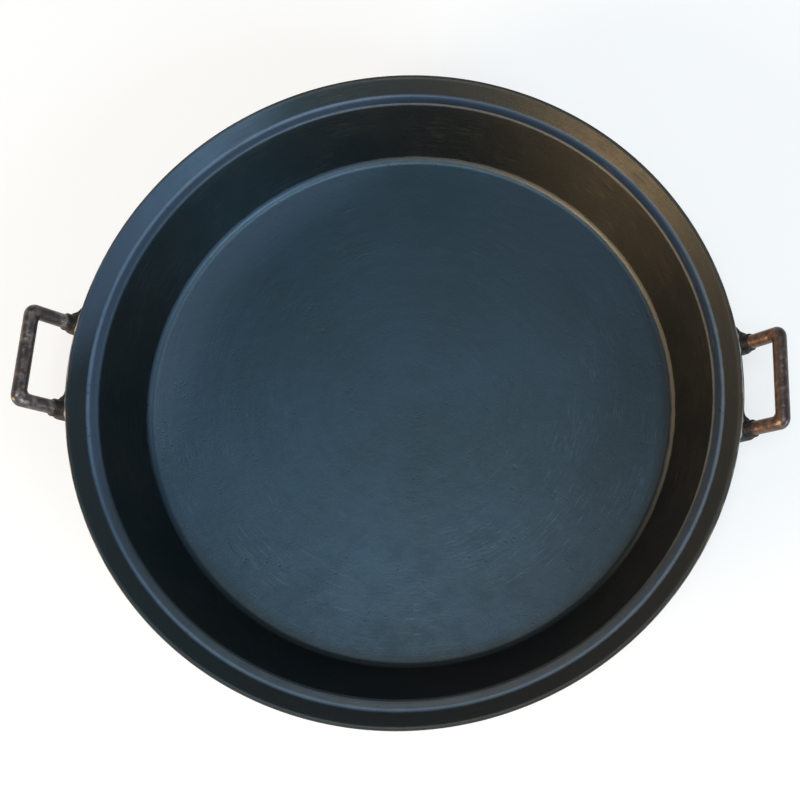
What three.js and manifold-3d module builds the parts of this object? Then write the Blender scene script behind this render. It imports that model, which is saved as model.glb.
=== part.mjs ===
// A deep, round cast iron griddle pan with a stepped rim and two upswept loop handles.
// Millimetres, +Z up. The origin is the middle of the flat underside, and the handles lie along X.
import * as THREE from 'three';
import { mergeVertices } from 'three/addons/utils/BufferGeometryUtils.js';
import Module from 'manifold-3d';

const wasm = await Module();
wasm.setup();

// Driving sizes of the pan casting
const rimDiameter = 500;          // over the lip
const panHeight = 75;             // underside to the top of the lip
const floorThickness = 6;
const wallThickness = 5;
const collarFlare = 9.5;          // level, from the foot of the collar out to the inside of the lip
const ledgeDepth = 11.5;          // top of the lip down to the ledge
const ledgeWidth = 7.5;
const wallSpread = 22;            // level, from the corner of the floor out to the edge of the ledge
const floorFillet = 10;
const baseEdgeRadius = 8;         // outside, between underside and wall
const ledgeEdgeRadius = 2;        // where the ledge turns down into the wall
const ledgeFootRadius = 1.8;      // where the ledge meets the collar
const shelfFillet = 4;            // outside, under the step
const lipThickness = 3;           // across the top of the lip
const lipHeight = 3;              // straight outer side of the lip
const lipRounding = 1.3;

// Driving sizes of one handle loop and of the lug that carries it
const barDiameter = 10.5;
const armSpacing = 66;            // middle to middle of the two arms
const armPitch = 57;              // degrees, rise of the arms over level
const armLength = 35;             // from beside the lip to the middle of the grip
const armClearance = 0.8;         // side of an arm to the lip
const loopCornerOutside = 8;
const loopCornerInside = 3;
const seatRise = 1.5;             // face of a boss past the side of the lip, along the arm
const bossProud = 0.8;            // face of a boss above the top of the lug, upright
const socketDepth = 13;
const bossDiameter = 16;
const bossLength = 27;            // with its rounded lower end
const bossEndLength = 13;         // of the rounded end alone
const webStand = 2.5;             // lug beyond the lip between the arms
const flareOffset = 6.5;          // axis of an arm to the start of the hollow flares beside it
const rearFlare = 8.5;            // radius of the hollow flare on the rear side of each arm
const frontFlare = 3.2;
const lugRearEnd = 12;            // lug past its last flare
const lugFrontEnd = 1;
const lugRearRunOut = 16;         // end of the lug that dies into the wall
const lugFrontRunOut = 6;
const lugStep = 7;                // between two sections of the lug where it runs straight
const lugHeight = 8;              // leaning face of the lug, measured upright
const lugTaper = 18;              // sloping underside of the lug, measured upright
const lugEdgeRadius = 1.2;        // along the top of the lug
const lugShoulderRadius = 6;      // where its face turns into the underside
const beadWidth = 2;              // hollow-sided ring of metal round the root of an arm
const beadHeight = 3.2;           // of its hollow side
const beadEdge = 0.6;             // upright outer edge of the ring
const beadNeck = 0.7;             // thickness of the ring above its hollow side
const ridgeCount = 2;             // round the neck of the ring
const ridgePitch = 1.5;
const ridgeStand = 0.35;
const beadClearance = 0.6;        // ring to the lip
const gap = 0.3;                  // between pieces that touch

// Fineness of the facets
const turnSegments = 84;
const barSides = 20;
const cornerSteps = 6;            // in a corner of a loop and in the end of a boss
const hollowSteps = 4;            // in a hollow flare and in the hollow side of a bead
const runOutSteps = 3;            // in an end of the lug
const closestStations = 0.4;      // sections of the lug nearer than this are made one
const smallFilletSteps = 3;
const largeFilletSteps = 5;
const largeFillet = 3;            // radius from which a fillet gets the larger number of steps

const rimRadius = rimDiameter / 2;
const lipInnerRadius = rimRadius - lipThickness;
const collarFootRadius = lipInnerRadius - collarFlare;
const mouthRadius = collarFootRadius - ledgeWidth;
const floorRadius = mouthRadius - wallSpread;
const barRadius = barDiameter / 2;
const ledgeZ = panHeight - ledgeDepth;
const radians = THREE.MathUtils.degToRad;

// Turns a closed three.js geometry into a solid that can be cut and joined.
function toSolid(geometry) {
  const bare = geometry.clone();
  bare.deleteAttribute('normal');
  bare.deleteAttribute('uv');
  const merged = mergeVertices(bare, 1e-4);
  const index = merged.index.array;
  const triangles = [];
  for (let i = 0; i < index.length; i += 3) {
    const [a, b, c] = [index[i], index[i + 1], index[i + 2]];
    if (a !== b && b !== c && c !== a) {
      triangles.push(a, b, c);
    }
  }
  const mesh = new wasm.Mesh({
    numProp: 3,
    vertProperties: new Float32Array(merged.attributes.position.array),
    triVerts: new Uint32Array(triangles),
  });
  return new wasm.Manifold(mesh);
}

// Turns a solid back into a three.js geometry.
function toGeometry(solid) {
  const mesh = solid.getMesh();
  const geometry = new THREE.BufferGeometry();
  geometry.setAttribute('position', new THREE.BufferAttribute(mesh.vertProperties, 3));
  geometry.setIndex(new THREE.BufferAttribute(mesh.triVerts, 1));
  const faceted = geometry.toNonIndexed();
  faceted.computeVertexNormals();
  return faceted;
}

// Rounds the corners of a profile. Each corner is [radius, height, fillet], and a fillet
// is kept to what its two sides leave room for.
function filleted(corners) {
  const points = [];
  corners.forEach(([r, z, fillet = 0], i) => {
    const corner = new THREE.Vector2(r, z);
    if (!fillet) {
      points.push(corner);
      return;
    }
    const before = new THREE.Vector2(...corners[i - 1]).sub(corner);
    const after = new THREE.Vector2(...corners[i + 1]).sub(corner);
    const half = Math.abs(Math.atan2(before.cross(after), before.dot(after))) / 2;
    const room = 0.49 * Math.min(before.length(), after.length());
    const tangent = Math.min(fillet / Math.tan(half), room);
    const radius = tangent * Math.tan(half);
    const middle = before.clone().normalize().add(after.clone().normalize()).normalize()
      .multiplyScalar(radius / Math.sin(half)).add(corner);
    const start = before.clone().setLength(tangent).add(corner).sub(middle);
    const end = after.clone().setLength(tangent).add(corner).sub(middle);
    const sweep = Math.atan2(start.cross(end), start.dot(end));
    const steps = fillet < largeFillet ? smallFilletSteps : largeFilletSteps;
    for (let k = 0; k <= steps; k += 1) {
      points.push(start.clone().rotateAround(new THREE.Vector2(), (sweep * k) / steps).add(middle));
    }
  });
  return points;
}

// Revolves a profile of [radius, height] about Z.
function revolved(points) {
  return new THREE.LatheGeometry(points, turnSegments).rotateX(Math.PI / 2);
}

// Skins a run of closed rings with the same number of points and closes both ends.
function lofted(rings) {
  const count = rings[0].length;
  const positions = [];
  const index = [];
  rings.forEach((ring) => ring.forEach((point) => positions.push(point.x, point.y, point.z)));
  for (let i = 0; i < rings.length - 1; i += 1) {
    for (let k = 0; k < count; k += 1) {
      const next = (k + 1) % count;
      const [a, b, c, d] = [i * count + k, i * count + next, (i + 1) * count + k, (i + 1) * count + next];
      index.push(a, b, d, a, d, c);
    }
  }
  const last = (rings.length - 1) * count;
  for (let k = 1; k < count - 1; k += 1) {
    index.push(0, k + 1, k, last, last + k, last + k + 1);
  }
  const geometry = new THREE.BufferGeometry();
  geometry.setAttribute('position', new THREE.Float32BufferAttribute(positions, 3));
  geometry.setIndex(index);
  return geometry;
}

// Where the pieces of one handle meet the pan: everything below is worked out at +X,
// and the other handle is the same turned half round.
const wallLean = wallSpread / (ledgeZ - floorThickness);
const wallAcross = wallThickness * Math.hypot(1, wallLean);
const shelfZ = ledgeZ - wallThickness;
const collarLean = collarFlare / ledgeDepth;
const lipBottomZ = panHeight - lipHeight;
const collarOutsideFoot = rimRadius - collarLean * (lipBottomZ - shelfZ);
const wallOutside = (z) => floorRadius + wallLean * (z - floorThickness) + wallAcross;
const collarOutside = (z) => collarOutsideFoot + collarLean * (z - shelfZ);
const halfWall = wallThickness / 2;

const armY = armSpacing / 2;
const rimAtArm = Math.sqrt(rimRadius ** 2 - armY ** 2);
const armUp = new THREE.Vector3(Math.cos(radians(armPitch)), 0, Math.sin(radians(armPitch)));
const armOut = new THREE.Vector3(Math.sin(radians(armPitch)), 0, -Math.cos(radians(armPitch)));
const seatSlope = 1 / Math.tan(radians(armPitch));
const besideLip = new THREE.Vector3(rimAtArm, 0, lipBottomZ).addScaledVector(armOut, barRadius + armClearance);

// A point given along an arm from the lip, across the pan and out from the plane of the loop.
function onLoop(along, across, out = 0) {
  return besideLip.clone().addScaledVector(armUp, along).addScaledVector(armOut, out)
    .add(new THREE.Vector3(0, across, 0));
}

// Places a solid of revolution about Z on the axis of one arm, its foot at the given distance.
function onArm(geometry, along, side) {
  const turn = new THREE.Quaternion().setFromUnitVectors(new THREE.Vector3(0, 0, 1), armUp);
  const place = new THREE.Matrix4().compose(onLoop(along, side * armY), turn, new THREE.Vector3(1, 1, 1));
  return geometry.clone().applyMatrix4(place);
}

// Outside of the pan as a full solid of revolution.
function outerForm() {
  return revolved(filleted([
    [0, 0],
    [wallOutside(0), 0, baseEdgeRadius],
    [wallOutside(shelfZ), shelfZ, shelfFillet],
    [collarOutsideFoot, shelfZ, shelfFillet],
    [rimRadius, lipBottomZ, lipRounding],
    [rimRadius, panHeight, lipRounding],
    [0, panHeight],
  ]));
}

// The bowl, its ledge and its flared collar as one cutting solid that runs out past the lip.
function bowlForm() {
  const above = panHeight + ledgeDepth;
  return revolved(filleted([
    [0, floorThickness],
    [floorRadius, floorThickness, floorFillet],
    [mouthRadius, ledgeZ, ledgeEdgeRadius],
    [collarFootRadius, ledgeZ, ledgeFootRadius],
    [lipInnerRadius, panHeight, lipRounding],
    [rimRadius, panHeight],
    [rimRadius, above],
    [0, above],
  ]));
}

const seat = onLoop(seatRise, 0);
const lugTopZ = seat.z + seatSlope * (seat.x - rimAtArm) - bossProud;
const lugFront = armY + flareOffset + frontFlare + lugFrontEnd;
const lugRear = armY + flareOffset + rearFlare + lugRearEnd;

// How far the lug stands out beyond the lip at a distance along the rim. A hollow flare leads
// from the web to each side of each arm, wider on the side towards the rear of the pan.
function lugStand(along) {
  const flares = [-armY, armY].map((arm) => {
    const beside = along - arm;
    const past = Math.abs(beside) - flareOffset;
    if (past < 0) {
      const turned = THREE.MathUtils.smoothstep(beside, -flareOffset, flareOffset);
      return THREE.MathUtils.lerp(frontFlare, rearFlare, turned);
    }
    const radius = beside > 0 ? rearFlare : frontFlare;
    return radius - Math.sqrt(radius ** 2 - Math.max(0, radius - past) ** 2);
  });
  return webStand + Math.max(...flares);
}

// How much of its full section the lug has at a distance along the rim.
function lugShare(along) {
  const atFront = THREE.MathUtils.smoothstep(along + lugFront, 0, lugFrontRunOut);
  const atRear = THREE.MathUtils.smoothstep(lugRear - along, 0, lugRearRunOut);
  return Math.min(atFront, atRear);
}

// Distances along the rim at which the lug is sectioned, closest where its outline turns.
function lugStations() {
  const stations = [lugRear];
  for (let k = 1; k <= runOutSteps; k += 1) {
    stations.push((lugFrontRunOut * k) / runOutSteps - lugFront);
    stations.push(lugRear - (lugRearRunOut * k) / runOutSteps);
  }
  for (const arm of [-armY, armY]) {
    stations.push(arm - flareOffset / 2, arm, arm + flareOffset / 2);
    for (let k = 0; k <= hollowSteps; k += 1) {
      const turn = 1 - Math.cos((Math.PI / 2) * (k / hollowSteps));
      stations.push(arm + flareOffset + rearFlare * turn, arm - flareOffset - frontFlare * turn);
    }
  }
  const webStart = flareOffset + rearFlare - armY;
  const webLength = armY - flareOffset - frontFlare - webStart;
  const webSteps = Math.ceil(webLength / lugStep);
  for (let k = 1; k < webSteps; k += 1) {
    stations.push(webStart + (webLength * k) / webSteps);
  }
  const kept = [-lugFront];
  stations.sort((a, b) => a - b).forEach((station) => {
    if (station - kept[kept.length - 1] > closestStations) {
      kept.push(station);
    }
  });
  return kept;
}

// The lug: a swelling under the lip that follows the rim and runs back into the wall below.
// Its top falls away from the lip as steeply as the faces of the bosses do, and its face
// leans back as the arms do.
function lugForm() {
  const deep = floorRadius - wallThickness;
  const inLip = [rimRadius - lipThickness / 2, lugTopZ + seatSlope * (lipThickness / 2)];
  const rings = lugStations().map((along) => {
    const share = lugShare(along);
    const stand = lugStand(along);
    const edgeZ = lugTopZ - seatSlope * stand;
    const shoulderZ = edgeZ - lugHeight;
    const footZ = shoulderZ - lugTaper;
    const edge = rimRadius + stand;
    const section = filleted([
      [deep, inLip[1]],
      inLip,
      [THREE.MathUtils.lerp(collarOutside(edgeZ) - halfWall, edge, share), edgeZ, lugEdgeRadius],
      [
        THREE.MathUtils.lerp(wallOutside(shoulderZ) - halfWall, edge - seatSlope * lugHeight, share),
        shoulderZ,
        lugShoulderRadius,
      ],
      [wallOutside(footZ) - halfWall, footZ],
      [deep, footZ],
    ]);
    const angle = along / rimRadius;
    return section.map(({ x: r, y: z }) => new THREE.Vector3(r * Math.cos(angle), r * Math.sin(angle), z));
  });
  return lofted(rings);
}

// One boss round the root of an arm, with a rounded lower end that runs into the wall.
function bossForm(side) {
  const radius = bossDiameter / 2;
  const profile = [];
  for (let k = 0; k <= cornerSteps; k += 1) {
    const angle = (Math.PI / 2) * (k / cornerSteps);
    profile.push(new THREE.Vector2(radius * Math.sin(angle), -bossEndLength * Math.cos(angle)));
  }
  profile.push(new THREE.Vector2(radius, bossLength - bossEndLength));
  profile.push(new THREE.Vector2(0, bossLength - bossEndLength));
  const boss = new THREE.LatheGeometry(profile, barSides).rotateX(Math.PI / 2)
    .translate(0, 0, bossEndLength - bossLength);
  return toSolid(onArm(boss, seatRise, side));
}

// The blind hole in a boss that the end of an arm sits in.
function socketForm(side) {
  const radius = barRadius + gap;
  const length = socketDepth + bossDiameter;
  const hole = new THREE.CylinderGeometry(radius, radius, length, barSides)
    .rotateX(Math.PI / 2).translate(0, 0, length / 2);
  return toSolid(onArm(hole, seatRise - socketDepth, side));
}

// The pan casting with its two lugs.
function panGeometry() {
  const bothSides = (solid) => solid.add(solid.mirror([1, 0, 0]));
  const lugs = bothSides(toSolid(lugForm()).add(bossForm(1)).add(bossForm(-1)));
  const sockets = bothSides(socketForm(1).add(socketForm(-1)));
  return toGeometry(toSolid(outerForm()).add(lugs).subtract(toSolid(bowlForm())).subtract(sockets));
}

// A round of the loop between its outer and inner outline points.
function barRing(outer, inner) {
  const middle = outer.clone().add(inner).multiplyScalar(0.5);
  const across = outer.clone().sub(inner).multiplyScalar(0.5);
  const ring = [];
  for (let k = 0; k < barSides; k += 1) {
    const angle = (2 * Math.PI * k) / barSides;
    const flat = middle.clone().addScaledVector(across, Math.cos(angle));
    ring.push(onLoop(flat.x, flat.y, -barRadius * Math.sin(angle)));
  }
  return ring;
}

// One handle loop: two arms and a grip of round bar, with small corners inside and larger
// ones outside, lofted from one arm's end round to the other's.
function loopGeometry() {
  const foot = seatRise - socketDepth + gap;
  const outsideMiddle = new THREE.Vector2(armLength + barRadius - loopCornerOutside,
    armY + barRadius - loopCornerOutside);
  const insideMiddle = new THREE.Vector2(armLength - barRadius - loopCornerInside,
    armY - barRadius - loopCornerInside);
  const halfLoop = [[new THREE.Vector2(foot, armY + barRadius), new THREE.Vector2(foot, armY - barRadius)]];
  for (let k = 0; k <= cornerSteps; k += 1) {
    const angle = (Math.PI / 2) * (1 - k / cornerSteps);
    const direction = new THREE.Vector2(Math.cos(angle), Math.sin(angle));
    halfLoop.push([
      outsideMiddle.clone().addScaledVector(direction, loopCornerOutside),
      insideMiddle.clone().addScaledVector(direction, loopCornerInside),
    ]);
  }
  const mirrored = (point) => new THREE.Vector2(point.x, -point.y);
  const otherHalf = halfLoop.map((pair) => pair.map(mirrored)).reverse();
  return lofted([...halfLoop, ...otherHalf].map(([outer, inner]) => barRing(outer, inner)));
}

// A hollow-sided ring of metal round the root of an arm, on the face of its boss, with
// ridges round its neck. It is cut back beside the lip.
function beadGeometry(side) {
  const inside = barRadius + gap;
  const profile = [new THREE.Vector2(inside, 0), new THREE.Vector2(inside + beadWidth, 0)];
  for (let k = 0; k <= hollowSteps; k += 1) {
    const angle = (Math.PI / 2) * (k / hollowSteps);
    profile.push(new THREE.Vector2(
      inside + beadWidth - (beadWidth - beadNeck) * Math.sin(angle),
      beadHeight - (beadHeight - beadEdge) * Math.cos(angle),
    ));
  }
  for (let k = 0; k < ridgeCount; k += 1) {
    const [low, high] = [beadHeight + ridgePitch * (k + 1 / 3), beadHeight + ridgePitch * (k + 2 / 3)];
    profile.push(new THREE.Vector2(inside + beadNeck + ridgeStand, low));
    profile.push(new THREE.Vector2(inside + beadNeck + ridgeStand, high));
    profile.push(new THREE.Vector2(inside + beadNeck, beadHeight + ridgePitch * (k + 1)));
  }
  profile.push(new THREE.Vector2(inside, beadHeight + ridgePitch * ridgeCount), new THREE.Vector2(inside, 0));
  const ring = new THREE.LatheGeometry(profile, barSides).rotateX(Math.PI / 2);
  const stop = rimRadius + beadClearance;
  const lip = new THREE.CylinderGeometry(stop, stop, 2 * panHeight, turnSegments)
    .rotateX(Math.PI / 2).translate(0, 0, panHeight);
  return toGeometry(toSolid(onArm(ring, seatRise + gap, side)).subtract(toSolid(lip)));
}

const castIron = { metalness: 0.55, roughness: 0.5 };

function named(name, geometry, color) {
  const mesh = new THREE.Mesh(geometry, new THREE.MeshStandardMaterial({ ...castIron, color }));
  mesh.name = name;
  return mesh;
}

// One handle with the beads at its two roots, at +X or turned half round to -X.
function handleGroup(place, turn) {
  const handle = new THREE.Group();
  const ends = turn ? { front: 1, rear: -1 } : { front: -1, rear: 1 };
  handle.add(named(`${place}_handle`, loopGeometry(), 0x3a332d));
  for (const [end, side] of Object.entries(ends)) {
    handle.add(named(`${place}_${end}_root_bead`, beadGeometry(side), 0x2f2b28));
  }
  handle.rotation.z = turn;
  return handle;
}

const griddle = new THREE.Group();
griddle.add(named('pan_body', panGeometry(), 0x2c3a42));
griddle.add(handleGroup('right', 0));
griddle.add(handleGroup('left', Math.PI));

export default griddle;
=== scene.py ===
"""A deep, round cast iron griddle pan with a stepped rim and two upswept loop handles.

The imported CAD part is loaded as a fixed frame, and each of its nodes is replaced here by a
finished casting that stays where the node is: the pan with its two lugs, the two handle
loops and the four beads round their roots. Metres, +Z up, the handles lie along X.
"""

import logging
import math
from dataclasses import dataclass, field
from enum import Enum
from functools import partialmethod, reduce
from itertools import pairwise
from typing import Callable

import bmesh
import bpy
import numpy as np
from mathutils import Matrix, Vector


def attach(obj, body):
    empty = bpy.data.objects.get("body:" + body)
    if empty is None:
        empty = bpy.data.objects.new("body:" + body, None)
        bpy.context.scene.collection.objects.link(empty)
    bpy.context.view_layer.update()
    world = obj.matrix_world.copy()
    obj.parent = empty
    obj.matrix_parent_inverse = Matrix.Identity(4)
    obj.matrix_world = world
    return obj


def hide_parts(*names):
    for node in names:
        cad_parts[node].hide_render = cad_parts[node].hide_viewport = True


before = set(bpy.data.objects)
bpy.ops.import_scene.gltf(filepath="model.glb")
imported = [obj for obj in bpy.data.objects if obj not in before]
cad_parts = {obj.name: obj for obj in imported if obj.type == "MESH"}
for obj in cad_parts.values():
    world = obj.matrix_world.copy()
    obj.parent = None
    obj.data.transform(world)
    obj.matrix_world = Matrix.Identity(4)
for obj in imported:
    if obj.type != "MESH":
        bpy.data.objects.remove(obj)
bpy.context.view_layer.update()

LOG = logging.getLogger("griddle")
MERGE = 0.00001
TINY = 1e-6
SHORTEST = 1e-18
FIRST_STEP = 0.002
MOST_CUT = 0.49
NODE_COLUMN = 220
NODE_ROW = 180
NODES_ACROSS = 8

Pair = tuple[float, float]
Colour = tuple[float, float, float, float]
Socket = bpy.types.NodeSocket
Number = Socket | float
Tone = Socket | Colour
Given = dict[str, Socket]
Piece = bpy.types.Object
Points = np.ndarray
Field = Callable[[Points, Points], Points]
WHITE: Colour = (1.0, 1.0, 1.0, 1.0)


def srgb(*shown: int) -> Colour:
    """Turns a display colour into the linear one that a shader takes.

    Args:
        *shown: Red, green and blue as shown on a screen, 0 to 255.

    Returns:
        The linear colour with full opacity.
    """
    shares = [value / 255 for value in shown]
    return (*(share / 12.92 if share <= 0.04045 else ((share + 0.055) / 1.055) ** 2.4 for share in shares), 1.0)


def smoothstep(value: Points, low: float, high: float) -> Points:
    """Rises smoothly from 0 at low to 1 at high.

    Args:
        value: Where the curve is read.
        low: Where it leaves 0.
        high: Where it reaches 1.

    Returns:
        The height of the curve at each value.
    """
    share = np.clip((value - low) / (high - low), 0.0, 1.0)
    return share * share * (3 - 2 * share)


def blended_min(first: Points, second: Points, fillet: Points | float) -> Points:
    """Joins two distance fields with a rounded hollow where they meet, as a casting does.

    Args:
        first: Distances to the first form, negative inside it.
        second: Distances to the second form.
        fillet: Reach of the hollow.

    Returns:
        Distances to the joined form.
    """
    overlap = np.maximum(fillet - np.abs(first - second), 0.0) / fillet
    return np.minimum(first, second) - overlap * overlap * fillet / 4


def blended_max(first: Points, second: Points, rounding: float) -> Points:
    """Cuts one distance field by another and rounds the edge between them.

    Args:
        first: Distances to the first form.
        second: Distances to the second form.
        rounding: Reach of the rounding.

    Returns:
        Distances to what the two forms share.
    """
    return -blended_min(-first, -second, rounding)


class Side(Enum):
    """Which side of the pan a handle is on, by the sign of X there."""

    LEFT = -1
    RIGHT = 1


class End(Enum):
    """Which arm of a handle is meant, by the sign of Y there."""

    FRONT = -1
    REAR = 1


# Modelling steps


def begin_mesh(name: str) -> Piece:
    """Names the piece that was just added and opens it with everything selected.

    Args:
        name: Name of the piece.

    Returns:
        The piece, in edit mode.
    """
    piece = bpy.context.object
    piece.name = name
    piece.data.name = name
    bpy.ops.object.transform_apply(location=True, rotation=True, scale=True)
    bpy.ops.object.mode_set(mode="EDIT")
    bpy.ops.mesh.select_all(action="SELECT")
    return piece


def draw_line(name: str, points: list[Vector]) -> Piece:
    """Draws a small plane together to one vertex and extrudes it from point to point.

    Args:
        name: Name of the new piece.
        points: The points of the line.

    Returns:
        The new piece, in edit mode with the whole line selected.
    """
    bpy.ops.object.select_all(action="DESELECT")
    bpy.ops.mesh.primitive_plane_add(size=FIRST_STEP, location=points[0])
    piece = begin_mesh(name)
    bpy.ops.mesh.merge(type="CENTER")
    for here, there in pairwise(points):
        bpy.ops.mesh.extrude_vertices_move(TRANSFORM_OT_translate={"value": there - here})
    bpy.ops.mesh.select_all(action="SELECT")
    return piece


def finish_mesh(piece: Piece, crease: float = 35.0) -> None:
    """Merges doubles, points the faces outwards and shades the piece smooth by angle.

    Args:
        piece: The piece, in edit mode.
        crease: Angle in degrees from which an edge stays sharp.
    """
    bpy.ops.mesh.select_all(action="SELECT")
    bpy.ops.mesh.remove_doubles(threshold=MERGE)
    bpy.ops.mesh.normals_make_consistent(inside=False)
    bpy.ops.object.mode_set(mode="OBJECT")
    bpy.ops.object.select_all(action="DESELECT")
    piece.select_set(True)
    bpy.context.view_layer.objects.active = piece
    bpy.ops.object.shade_smooth_by_angle(angle=math.radians(crease))


@dataclass(frozen=True)
class Corner:
    """One corner of a turned profile, with its rounding and the spacing of the points after it."""

    radius: float
    height: float
    rounding: float = 0.0
    steps: int = 5
    spacing: float = 0.0

    def cut(self, before: Vector, after: Vector) -> float:
        """Works out how far from the corner its rounding begins.

        Args:
            before: The way to the corner before, at full length.
            after: The way to the corner after.

        Returns:
            The distance, less than half of either way, and 0 for a sharp corner.
        """
        if not self.rounding:
            return 0.0
        return min(self.rounding / math.tan(before.angle(after) / 2), MOST_CUT * min(before.length, after.length))


def rounded_profile(corners: list[Corner]) -> list[Vector]:
    """Rounds the corners of a profile and spaces points along its straight stretches.

    Args:
        corners: The corners in order. A spacing of 0 leaves a stretch without points.

    Returns:
        The points of the profile in the plane Y = 0.
    """
    spots = [Vector((corner.radius, corner.height)) for corner in corners]
    ways = [there - here for here, there in pairwise(spots)]
    cuts = [0.0] + [corner.cut(-ways[i], ways[i + 1]) for i, corner in enumerate(corners[1:-1])] + [0.0]
    points: list[Vector] = []
    for i, corner in enumerate(corners):
        if cuts[i]:
            before, after = -ways[i - 1].normalized(), ways[i].normalized()
            half = before.angle(after) / 2
            middle = spots[i] + (before + after).normalized() * (cuts[i] / math.cos(half))
            start = spots[i] + before * cuts[i] - middle
            end = spots[i] + after * cuts[i] - middle
            sweep = math.atan2(start.cross(end), start.dot(end))
            for k in range(corner.steps + 1):
                points.append(middle + Matrix.Rotation(sweep * k / corner.steps, 2) @ start)
        else:
            points.append(spots[i])
        if corner.spacing and i + 1 < len(corners):
            stop = spots[i + 1] - ways[i].normalized() * cuts[i + 1]
            begin = points[-1]
            count = max(1, round((stop - begin).length / corner.spacing))
            points.extend(begin.lerp(stop, k / count) for k in range(1, count))
    return [Vector((point.x, 0.0, point.y)) for point in points]


# Shader building


class Flank(Enum):
    """Sides of the pan where worn edges, painted light and painted shade are stronger: the way to each, and where it
    begins and where it is full.
    """

    NEAR = ((0.5, -0.87, 0.0), -0.08, 0.12)
    REAR_RIGHT = ((0.62, 0.78, 0.0), -0.06, 0.12)
    REAR_LEFT = ((-0.85, 0.53, 0.0), 0.11, 0.19)
    LEFT_COLLAR = ((-0.85, 0.53, 0.0), 0.2, 0.232)
    RIGHT = ((1.0, 0.0, 0.0), -0.16, 0.16)
    RIGHT_HANDLE = ((1.0, 0.0, 0.0), 0.17, 0.235)
    LEFT_HANDLE = ((-1.0, 0.0, 0.0), 0.17, 0.235)


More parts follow.
